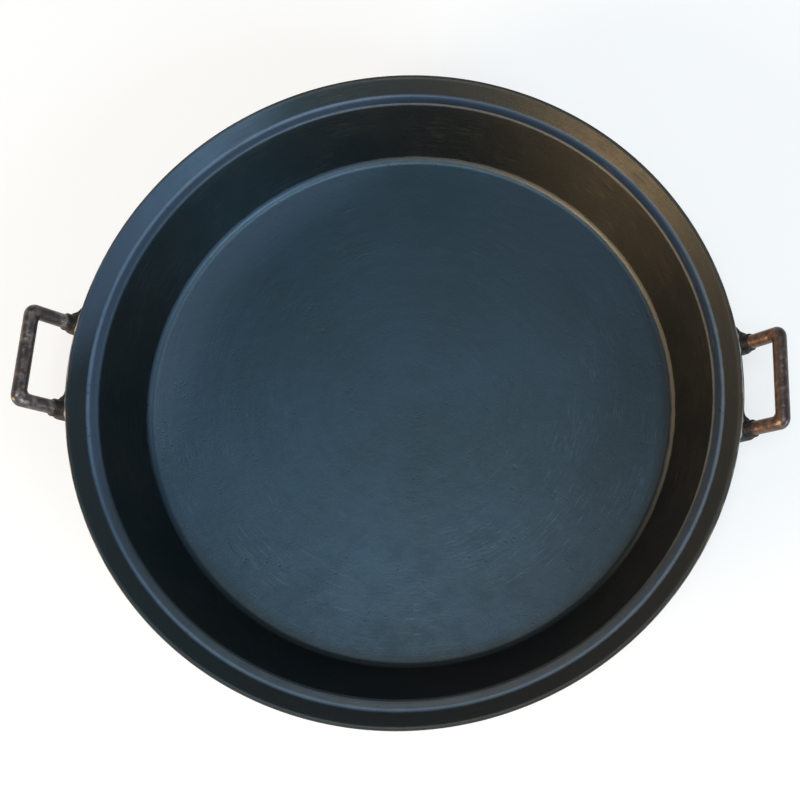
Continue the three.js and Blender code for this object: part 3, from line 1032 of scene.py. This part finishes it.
@dataclass(frozen=True)
class Lug:
    """The swelling under the lip that carries one handle, with a boss round each arm's root.

    Of each pair of sizes, the first is for the front and the second for the rear. Only near_lip differs: it
    gives the two heights between which the cast fillet shrinks to the lip's.
    """

    line: ArmLine
    top_height: float = 0.07297
    web_stand: float = 0.0025
    flare_offset: float = 0.0065
    flares: Pair = (0.0032, 0.0085)
    ends: Pair = (0.0437, 0.060)
    run_outs: Pair = (0.004, 0.016)
    sinks: Pair = (0.004, 0.012)
    face_height: float = 0.008
    taper: float = 0.018
    wall_radius: float = 0.208
    wall_lean: float = 0.3826
    floor_thickness: float = 0.006
    foot_depth: float = 0.003
    top_rounding: float = 0.0016
    foot_rounding: float = 0.006
    end_rounding: float = 0.003
    boss_radius: float = 0.008
    boss_length: float = 0.027
    boss_end: float = 0.013
    boss_rounding: float = 0.0012
    boss_fillet: float = 0.003
    cast_fillet: float = 0.006
    lip_fillet: float = 0.001
    near_lip: Pair = (0.062, 0.070)

    def stand(self, along: Points) -> Points:
        """Works out how far the lug stands beyond the lip.

        Args:
            along: Distances along the rim, towards the rear.

        Returns:
            The stand at each distance, with a hollow flare on each side of each arm.
        """
        front, rear = self.flares
        stand = np.zeros_like(along)
        for end in End:
            beside = along - end.value * self.line.spacing / 2
            past = np.abs(beside) - self.flare_offset
            radius = np.where(beside > 0, rear, front)
            hollow = radius - np.sqrt(radius**2 - np.clip(radius - past, 0.0, radius) ** 2)
            across = front + (rear - front) * smoothstep(beside, -self.flare_offset, self.flare_offset)
            stand = np.maximum(stand, np.where(past < 0, across, hollow))
        return self.web_stand + stand

    def web(self, radius: Points, along: Points, height: Points) -> Points:
        """Gives the distance to the web that follows the rim.

        Args:
            radius: Distances of the points from the pan's axis.
            along: Their distances along the rim.
            height: Their heights.

        Returns:
            Distances, negative inside the web.
        """
        slope = 1 / math.tan(math.radians(self.line.pitch))
        slant = math.hypot(1, slope)
        stand = self.stand(along)
        edge = self.line.rim_radius + stand
        edge_height = self.top_height - slope * stand
        top = (height + slope * (radius - self.line.rim_radius) - self.top_height) / slant
        face = (radius - edge + slope * (edge_height - height)) / slant
        shoulder = edge - slope * self.face_height
        foot_height = edge_height - self.face_height - self.taper
        foot = self.wall_radius + self.wall_lean * (foot_height - self.floor_thickness) + self.foot_depth
        run = shoulder - foot
        below = (self.taper * (radius - foot) - run * (height - foot_height)) / np.hypot(self.taper, run)
        body = blended_max(blended_max(top, face, self.top_rounding), below, self.foot_rounding)
        beyond, sunk = [], []
        for end, stop, run_out, sink in zip(End, self.ends, self.run_outs, self.sinks):
            beyond.append(end.value * along - stop)
            sunk.append(smoothstep(end.value * along, stop - run_out, stop) * sink)
        return blended_max(body + np.maximum(*sunk), np.maximum(*beyond), self.end_rounding)

    def boss(self, places: Points, end: End) -> Points:
        """Gives the distance to the boss round one arm.

        Args:
            places: The points, in the part's frame.
            end: Which arm.

        Returns:
            Distances, negative inside the boss.
        """
        axis = np.array(self.line.up)
        offset = places - np.array(self.line.spot(self.line.seat_rise, end.value * self.line.spacing / 2))
        along = offset @ axis
        away = np.linalg.norm(offset - along[:, None] * axis, axis=1)
        start = self.boss_end - self.boss_length
        low = np.minimum(along - start, 0.0) / self.boss_end
        side = (np.hypot(away / self.boss_radius, low) - 1) * self.boss_radius
        return blended_max(side, along, self.boss_rounding)

    def distance(self, places: Points, wall: Field) -> Points:
        """Gives the distance to the pan's outside with the lug and its bosses grown out of it.

        Args:
            places: The points, in the part's frame.
            wall: Distance to the plain outside of the pan, from radius and height.

        Returns:
            Distances, negative inside the metal.
        """
        radius, along = self.line.round_pan(places)
        height = places[:, 2]
        bosses = np.minimum(self.boss(places, End.FRONT), self.boss(places, End.REAR))
        lug = blended_min(self.web(radius, along, height), bosses, self.boss_fillet)
        fillet = self.cast_fillet + (self.lip_fillet - self.cast_fillet) * smoothstep(height, *self.near_lip)
        return blended_min(wall(radius, height), lug, fillet)


def follow_rays(distance: Callable[[Points], Points], count: int) -> Points:
    """Follows rays out of the metal to where they first leave it.

    Args:
        distance: Distance to the metal at the given distance along each ray.
        count: Number of rays.

    Returns:
        How far each ray runs in the metal.
    """
    inner, outer, found = np.zeros(count), np.full(count, RAY_LENGTH), np.zeros(count, dtype=bool)
    for reach in np.arange(RAY_STEP, RAY_LENGTH, RAY_STEP):
        past = distance(np.full(count, reach)) > 0
        outer = np.where(past & ~found, reach, outer)
        inner = np.where(~past & ~found, reach, inner)
        found |= past
    for _ in range(RAY_HALVINGS):
        middle = (inner + outer) / 2
        past = distance(middle) > 0
        outer = np.where(past, middle, outer)
        inner = np.where(past, inner, middle)
    return (inner + outer) / 2


@dataclass
class PanCasting:
    """The pan: a turned shell with a flat floor, a ledge and a flared collar, and its two lugs."""

    name: str = "pan_casting"
    rim_radius: float = 0.250
    height: float = 0.075
    floor_thickness: float = 0.006
    wall_thickness: float = 0.005
    floor_radius: float = 0.208
    mouth_radius: float = 0.230
    collar_foot: float = 0.2375
    ledge_height: float = 0.0635
    lip_thickness: float = 0.003
    lip_height: float = 0.003
    lip_rounding: float = 0.0012
    floor_fillet: float = 0.0055
    base_edge: float = 0.008
    shelf_fillet: float = 0.004
    collar_fillet: float = 0.0018
    ledge_edge: float = 0.0022
    fine_half: float = 15.5
    fine_columns: int = 124
    plain_columns: int = 100
    fan_start: float = 0.030
    fan_spacing: float = 0.0009
    ray_depth: float = 0.002
    ray_stand: float = 0.008
    margins: tuple[Pair, ...] = ((0.008, 0.003), (0.004, 0.012))
    reach_margin: float = 0.001
    finish: PanFinish = field(default_factory=PanFinish)

    @property
    def lip_inside(self) -> float:
        """Radius of the inner edge of the lip."""
        return self.rim_radius - self.lip_thickness

    @property
    def edges(self) -> Edges:
        """Radius and height of the round edges that the finish follows."""
        return {
            Edge.FLOOR: (self.floor_radius, self.floor_thickness),
            Edge.MOUTH: (self.mouth_radius, self.ledge_height),
            Edge.FOOT: (self.collar_foot, self.ledge_height),
            Edge.LIP: (self.lip_inside, self.height),
            Edge.RIM: (self.rim_radius, self.height),
        }

    def wall_outside(self, height: float) -> float:
        """Works out the outside radius of the wall.

        Args:
            height: Where on the wall.

        Returns:
            The radius there.
        """
        lean = (self.mouth_radius - self.floor_radius) / (self.ledge_height - self.floor_thickness)
        across = self.wall_thickness * math.hypot(1, lean)
        return self.floor_radius + lean * (height - self.floor_thickness) + across

    def outline(self) -> list[Vector]:
        """Draws the profile from the middle of the underside round to the middle of the floor.

        Returns:
            The points of the profile.
        """
        shelf = self.ledge_height - self.wall_thickness
        lip_bottom = self.height - self.lip_height
        flare = (self.lip_inside - self.collar_foot) / (self.height - self.ledge_height)
        collar_outside = self.rim_radius - flare * (lip_bottom - shelf)
        fan = self.fan_spacing
        return rounded_profile(
            [
                Corner(0.0, 0.0, spacing=0.03),
                Corner(self.wall_outside(0), 0.0, self.base_edge, steps=7, spacing=0.005),
                Corner(self.wall_outside(self.fan_start), self.fan_start, spacing=fan),
                Corner(self.wall_outside(shelf), shelf, self.shelf_fillet, spacing=fan),
                Corner(collar_outside, shelf, self.shelf_fillet, spacing=fan),
                Corner(self.rim_radius, lip_bottom, self.lip_rounding, steps=4, spacing=fan / 2),
                Corner(self.rim_radius, self.height, self.lip_rounding),
                Corner(self.lip_inside, self.height, self.lip_rounding, spacing=0.003),
                Corner(self.collar_foot, self.ledge_height, self.collar_fillet, steps=6, spacing=0.002),
                Corner(self.mouth_radius, self.ledge_height, self.ledge_edge, steps=7, spacing=0.007),
                Corner(self.floor_radius, self.floor_thickness, self.floor_fillet, steps=10, spacing=0.03),
                Corner(0.0, self.floor_thickness),
            ]
        )

    def plain_distance(self, profile: list[Vector]) -> Field:
        """Makes the distance to the outside of the pan without its lugs.

        Args:
            profile: The points of the profile.

        Returns:
            A function of radius and height, negative inside.
        """
        top = max(range(len(profile)), key=lambda i: (profile[i].z, -profile[i].x))
        starts = np.array([(point.x, point.z) for point in profile[: top + 1]] + [(0.0, self.height)])
        ends = np.roll(starts, -1, axis=0)
        edge = (ends - starts)[None]
        length = np.maximum((edge**2).sum(-1), SHORTEST)
        low, high = starts[None, :, 1], ends[None, :, 1]

        def distance(radius: Points, height: Points) -> Points:
            """Measures from points to the closed outline.

            Args:
                radius: Distances of the points from the pan's axis.
                height: Their heights.

            Returns:
                Distances to the outline, negative inside it.
            """
            spots = np.stack([radius, height], axis=1)[:, None, :]
            offset = spots - starts[None]
            share = np.clip((offset * edge).sum(-1) / length, 0, 1)
            away = np.sqrt(((offset - share[..., None] * edge) ** 2).sum(-1)).min(axis=1)
            crosses = (low > spots[..., 1]) != (high > spots[..., 1])
            with np.errstate(divide="ignore", invalid="ignore"):
                meet = edge[..., 0] * (spots[..., 1] - low) / (high - low) + starts[None, :, 0]
            inside = (crosses & (spots[..., 0] < meet)).sum(axis=1) % 2 == 1
            return np.where(inside, -away, away)

        return distance

    def spin_shell(self, profile: list[Vector]) -> Piece:
        """Draws the profile and spins it, with narrow columns where the lugs will be.

        Args:
            profile: The points of the profile.

        Returns:
            The closed shell, in object mode.
        """
        shell = draw_line(self.name, profile)
        middle = (0.0, 0.0, 0.0)
        about_axis = {"orient_axis": "Z", "orient_type": "GLOBAL", "center_override": middle}
        turn = math.radians(self.fine_half)
        bpy.ops.transform.rotate(value=-turn, **about_axis)
        for steps, sweep in ((self.fine_columns, 2 * turn), (self.plain_columns, math.pi - 2 * turn)):
            bpy.ops.mesh.spin(steps=steps, angle=sweep, center=middle, axis=(0.0, 0.0, 1.0))
        bpy.ops.mesh.select_all(action="SELECT")
        bpy.ops.mesh.duplicate()
        bpy.ops.transform.rotate(value=math.pi, **about_axis)
        finish_mesh(shell, crease=50.0)
        return shell

    def rays(self, profile: list[Vector]) -> tuple[Points, Points, Points]:
        """Lays out the rays that the outside's vertices go out along where a lug grows.

        The rays start in the metal. Away from the lug they stand square to the wall, and
        towards it they fan out from under the collar, so that the faces stay even over it.

        Args:
            profile: The points of the profile.

        Returns:
            The points of the profile that have rays, and where the square and the fanned rays start and aim.
        """
        first = next(i for i, point in enumerate(profile) if point.z >= self.fan_start - TINY)
        last = next(i for i, point in enumerate(profile) if point.z >= self.height - self.lip_rounding - TINY)
        run = profile[first : last + 1]
        lengths = np.concatenate([[0.0], np.cumsum([(there - here).length for here, there in pairwise(run)])])
        spots = np.array([(point.x, point.z) for point in run])
        slopes = np.gradient(spots, axis=0)
        normals = np.stack([slopes[:, 1], -slopes[:, 0]], axis=1)
        normals /= np.linalg.norm(normals, axis=1)[:, None]
        shares, *columns = np.array(FAN).T
        fanned = np.stack([np.interp(lengths / lengths[-1], shares, column / 1000) for column in columns], axis=1)
        starts = np.stack([spots - self.ray_depth * normals, fanned[:, :2]])
        aims = np.stack([spots + self.ray_stand * normals, fanned[:, 2:]])
        return spots, starts, aims

    def grow_lug(self, shell: Piece, profile: list[Vector], lug: Lug) -> None:
        """Draws one lug out of the wall: each vertex behind it goes out along its own ray.

        The rays turn from square to fanned within the margins before and after each end of the lug.

        Args:
            shell: The spun shell.
            profile: The points of the profile.
            lug: The lug to grow.
        """
        places = np.empty(len(shell.data.vertices) * 3)
        shell.data.vertices.foreach_get("co", places)
        places = places.reshape(-1, 3)
        radius, along = lug.line.round_pan(places)
        weight = np.ones_like(along)
        for end, stop, (before, after) in zip(End, lug.ends, self.margins):
            weight *= smoothstep(-end.value * along, -stop - before, -stop + after)

        spots, starts, aims = self.rays(profile)
        in_reach = np.flatnonzero((weight > 0) & (radius > spots[:, 0].min() - self.reach_margin))
        gaps = np.hypot(radius[in_reach, None] - spots[None, :, 0], places[in_reach, 2, None] - spots[None, :, 1])
        matched = gaps.min(axis=1) < MERGE
        chosen, row = in_reach[matched], gaps.argmin(axis=1)[matched]

        share = weight[chosen, None]
        start, aim = (ends[0][row] * (1 - share) + ends[1][row] * share for ends in (starts, aims))
        heading = (aim - start) / np.linalg.norm(aim - start, axis=1)[:, None]
        around = places[chosen, :2] / radius[chosen, None]
        wall = self.plain_distance(profile)

        def at(distance: Points) -> Points:
            """Gives the points at a distance along each ray."""
            flat = start + heading * distance[:, None]
            return np.column_stack([around * flat[:, :1], flat[:, 1]])

        places[chosen] = at(follow_rays(lambda distance: lug.distance(at(distance), wall), len(chosen)))
        shell.data.vertices.foreach_set("co", places.ravel())
        shell.data.update()

    def build(self) -> Piece:
        """Models and dresses the pan.

        Returns:
            The finished piece, which replaces its CAD node.
        """
        profile = self.outline()
        shell = self.spin_shell(profile)
        for side in Side:
            self.grow_lug(shell, profile, Lug(ArmLine(side)))
        shell.data.materials.append(self.finish.material(self.edges))
        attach(shell, "root")
        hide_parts("pan_body")
        return shell


# The handles and their beads


@dataclass
class HandleLoop:
    """One handle: two arms and a grip of round bar, with tight corners inside."""

    line: ArmLine
    material: bpy.types.Material
    arm_length: float = 0.035
    corner_outside: float = 0.008
    corner_inside: float = 0.003
    root_depth: float = 0.002
    sides: int = 40
    corner_rings: int = 10
    arm_rings: int = 8
    grip_rings: int = 8

    def sections(self) -> list[tuple[Vector, Vector]]:
        """Lists the outer and inner point of the bar, from one root round to the other.

        Returns:
            Pairs of points in the plane of the loop: along the arms, and across.
        """
        bar = self.line.bar_diameter / 2
        arm = self.line.spacing / 2
        foot = self.line.seat_rise - self.root_depth
        outer_middle = Vector((self.arm_length + bar - self.corner_outside, arm + bar - self.corner_outside))
        inner_middle = Vector((self.arm_length - bar - self.corner_inside, arm - bar - self.corner_inside))
        corner = []
        for k in range(self.corner_rings + 1):
            angle = math.pi / 2 * (1 - k / self.corner_rings)
            way = Vector((math.cos(angle), math.sin(angle)))
            corner.append((outer_middle + way * self.corner_outside, inner_middle + way * self.corner_inside))

        def between(first: tuple, last: tuple, count: int) -> list[tuple[Vector, Vector]]:
            """Lists count sections from the first, at even steps, up to but without the last."""
            return [tuple(low.lerp(high, k / count) for low, high in zip(first, last)) for k in range(count)]

        root = (Vector((foot, arm + bar)), Vector((foot, arm - bar)))
        half = between(root, corner[0], self.arm_rings) + corner
        flipped = [tuple(Vector((point.x, -point.y)) for point in pair) for pair in half]
        return half + between(half[-1], flipped[-1], self.grip_rings)[1:] + flipped[::-1]

    def build(self) -> Piece:
        """Models the loop from a disc at one root, extruded ring by ring to the other.

        Returns:
            The finished piece, which replaces its CAD node.
        """
        bar = self.line.bar_diameter / 2
        bpy.ops.object.select_all(action="DESELECT")
        bpy.ops.mesh.primitive_circle_add(
            vertices=self.sides, radius=bar, fill_type="NGON", location=self.line.beside_lip
        )
        loop = begin_mesh(f"{self.line.label}_handle_loop")
        for number, (outer, inner) in enumerate(self.sections()):
            if number:
                bpy.ops.mesh.extrude_region_move(TRANSFORM_OT_translate={"value": (0.0, 0.0, FIRST_STEP)})
            shape = bmesh.from_edit_mesh(loop.data)
            cap = next(face for face in shape.faces if face.select)
            for k, corner in enumerate(cap.verts):
                angle = 2 * math.pi * k / self.sides
                flat = (outer + inner) / 2 + (outer - inner) / 2 * math.cos(angle)
                corner.co = self.line.spot(flat.x, flat.y, bar * math.sin(angle))
            bmesh.update_edit_mesh(loop.data)
        finish_mesh(loop)
        loop.data.materials.append(self.material)
        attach(loop, "root")
        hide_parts(f"{self.line.label}_handle")
        return loop


@dataclass
class RootBead:
    """A hollow-sided ring of metal round the root of an arm, with ridges round its neck."""

    line: ArmLine
    end: End
    material: bpy.types.Material
    width: float = 0.0023
    height: float = 0.0032
    edge: float = 0.0007
    neck: float = 0.0010
    ridges: int = 2
    ridge_pitch: float = 0.0015
    ridge_stand: float = 0.00038
    steps: int = 8
    cap_bevel: float = 0.0004
    cap_height: float = 0.0006
    sunk: float = 0.0002
    lip_clearance: float = 0.0005
    columns: int = 56

    @property
    def label(self) -> str:
        """Words for the side and the end, as the pieces' names begin."""
        return f"{self.line.label}_{self.end.name.lower()}"

    def profile(self) -> list[Vector]:
        """Draws the ring's section: distance from the arm's axis, and distance along it.

        Returns:
            The points of the section, from its foot up the outside to its top.
        """
        bar = self.line.bar_diameter / 2
        points = [(bar - self.sunk, 0.0), (bar + self.width, 0.0)]
        for k in range(self.steps + 1):
            angle = math.pi / 2 * k / self.steps
            away = bar + self.width - (self.width - self.neck) * math.sin(angle)
            points.append((away, self.height - (self.height - self.edge) * math.cos(angle)))
        for ridge in range(self.ridges):
            for k in range(1, self.steps + 1):
                rise = self.ridge_stand * math.sin(math.pi * k / self.steps) ** 2
                points.append((bar + self.neck + rise, self.height + self.ridge_pitch * (ridge + k / self.steps)))
        top = self.height + self.ridge_pitch * self.ridges
        points += [(bar + self.neck / 2, top + self.cap_bevel), (bar - self.sunk, top + self.cap_height)]
        return [Vector(point) for point in points]

    def build(self) -> Piece:
        """Spins the ring about its arm and cuts it back beside the lip.

        Returns:
            The finished piece, which replaces its CAD node.
        """
        across = self.end.value * self.line.spacing / 2
        foot = self.line.seat_rise - self.sunk
        places = [self.line.spot(foot + point.y, across, point.x) for point in self.profile()]
        bead = draw_line(f"{self.label}_bead", [*places, places[0]])
        bpy.ops.mesh.remove_doubles(threshold=MERGE)
        axis = {"center": self.line.spot(0.0, across), "axis": self.line.up}
        bpy.ops.mesh.spin(steps=self.columns, angle=math.tau, **axis)
        bpy.ops.mesh.select_all(action="SELECT")
        bpy.ops.mesh.remove_doubles(threshold=MERGE)
        turn = math.asin(across / self.line.rim_radius)
        outward = Vector((self.line.side.value * math.cos(turn), math.sin(turn), 0.0))
        cut = outward * (self.line.rim_radius + self.lip_clearance)
        bpy.ops.mesh.bisect(plane_co=cut, plane_no=outward, use_fill=True, clear_inner=True)
        finish_mesh(bead)
        bead.data.materials.append(self.material)
        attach(bead, "root")
        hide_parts(f"{self.label}_root_bead")
        return bead


# The studio


@dataclass(frozen=True)
class Lamp:
    """One large soft lamp that faces the middle of the pan."""

    name: str
    place: tuple[float, float, float]
    size: float
    power: float
    colour: tuple[float, float, float]

    def build(self) -> None:
        """Adds the lamp."""
        data = bpy.data.lights.new(self.name, "AREA")
        data.shape = "DISK"
        data.size = self.size
        data.energy = self.power
        data.color = self.colour
        lamp = bpy.data.objects.new(self.name, data)
        lamp.location = self.place
        lamp.rotation_euler = (-Vector(self.place)).to_track_quat("-Z", "Y").to_euler()
        bpy.context.scene.collection.objects.link(lamp)


@dataclass
class Studio:
    """The pale floor, the soft light and the camera.

    The camera's focal length and centre are in pixels of the picture. Its turns, in radians, and its shift, in
    metres, take a point given from the middle of the rim to the camera, whose view is along Z with Y down.
    """

    floor_size: float = 9.0
    floor_colour: Colour = srgb(247, 246, 244)
    floor_white: float = 0.55
    wall_white: Colour = srgb(250, 251, 252)
    ceiling_grey: Colour = srgb(128, 134, 140)
    ceiling_reach: Pair = (0.16, 0.42)
    lamps: tuple[Lamp, ...] = (
        Lamp("Cool window", (3.6, -3.0, 2.0), 2.2, 150.0, (0.62, 0.83, 1.0)),
        Lamp("Warm window", (-3.9, -2.6, 1.2), 1.8, 250.0, (1.0, 0.72, 0.41)),
        Lamp("Overhead", (-0.25, -0.95, 4.2), 2.0, 104.0, (0.9, 0.97, 1.0)),
    )
    focal: float = 1071.0
    centre: Pair = (500.0, 360.0)
    turns: tuple[float, float, float] = (-0.28303, -0.0045, 0.02983)
    shift: tuple[float, float, float] = (-0.07008, 0.01041, 0.79192)
    rim_height: float = 0.075
    picture: int = 800
    sensor: float = 36.0

    def build(self) -> None:
        """Sets up the floor, the lamps, the world and the camera."""
        self.build_floor()
        for lamp in self.lamps:
            lamp.build()
        self.build_world()
        self.build_camera()
        bpy.context.scene.view_settings.view_transform = "Standard"

    def build_floor(self) -> None:
        """Lays the plain pale floor, whitened where the camera or a reflection sees it, with the pan's shadow."""
        bpy.ops.object.select_all(action="DESELECT")
        bpy.ops.mesh.primitive_plane_add(size=self.floor_size, location=(0.0, 0.0, 0.0))
        floor = bpy.context.object
        floor.name = "studio_floor"
        material, sheet = new_sheet("Studio floor")
        lit = sheet.add("ShaderNodeBsdfDiffuse", {"Color": self.floor_colour})
        white = sheet.add("ShaderNodeEmission", {"Strength": 1.0})
        path = sheet.add("ShaderNodeLightPath").outputs
        seen = sheet.either(path["Is Camera Ray"], path["Is Glossy Ray"])
        share = sheet.times(sheet.either(seen, path["Is Transmission Ray"]), self.floor_white)
        shader = sheet.add("ShaderNodeMixShader", {0: share, 1: lit.outputs[0], 2: white.outputs[0]})
        sheet.add("ShaderNodeOutputMaterial", {"Surface": shader.outputs[0]})
        floor.data.materials.append(material)

    def build_world(self) -> None:
        """Surrounds the floor with white that falls off to a plain grey ceiling."""
        world = bpy.data.worlds.new("Studio")
        world.use_nodes = True
        world.node_tree.nodes.clear()
        sheet = Sheet(world.node_tree)
        heading = sheet.add("ShaderNodeTexCoord").outputs["Generated"]
        share = sheet.rise(sheet.parts(heading)[2], *self.ceiling_reach)
        colour = sheet.mix(self.wall_white, self.ceiling_grey, share)
        room = sheet.add("ShaderNodeBackground", {"Color": colour, "Strength": 1.0})
        sheet.add("ShaderNodeOutputWorld", {"Surface": room.outputs[0]})
        bpy.context.scene.world = world

    def build_camera(self) -> None:
        """Places the camera where the photograph was taken from."""
        about_x, about_y, about_z = (Matrix.Rotation(turn, 3, axis) for turn, axis in zip(self.turns, "XYZ"))
        flip = Matrix(((1, 0, 0), (0, -1, 0), (0, 0, -1)))
        seen = about_x @ about_y @ about_z @ flip
        place = -(seen.transposed() @ Vector(self.shift)) + Vector((0.0, 0.0, self.rim_height))
        data = bpy.data.cameras.new("Camera")
        data.sensor_fit = "HORIZONTAL"
        data.sensor_width = self.sensor
        data.lens = self.focal * self.sensor / self.picture
        data.shift_x = (self.picture / 2 - self.centre[0]) / self.picture
        data.shift_y = (self.centre[1] - self.picture / 2) / self.picture
        camera = bpy.data.objects.new("Camera", data)
        camera.matrix_world = Matrix.Translation(place) @ (flip @ seen).transposed().to_4x4()
        bpy.context.scene.collection.objects.link(camera)
        bpy.context.scene.camera = camera


def main() -> None:
    """Builds the pan, its handles and beads, and the studio, and reports each piece."""
    logging.basicConfig(level=logging.INFO, format="%(message)s")
    pieces = [PanCasting().build()]
    handle_iron = HandleFinish().material()
    bead_iron = HandleFinish(
        name="Bead iron",
        dark=srgb(28, 25, 24),
        light=srgb(58, 48, 40),
        bronze_reflection_share=(0.0, 0.0),
        roughness=(0.42, 0.66),
        grain=1.5,
    ).material()
    for side in Side:
        line = ArmLine(side)
        pieces.append(HandleLoop(line, handle_iron).build())
        pieces.extend(RootBead(line, end, bead_iron).build() for end in End)
    for piece in pieces:
        LOG.info("%s: %d faces", piece.name, len(piece.data.polygons))
    Studio().build()


if __name__ == "__main__":
    main()
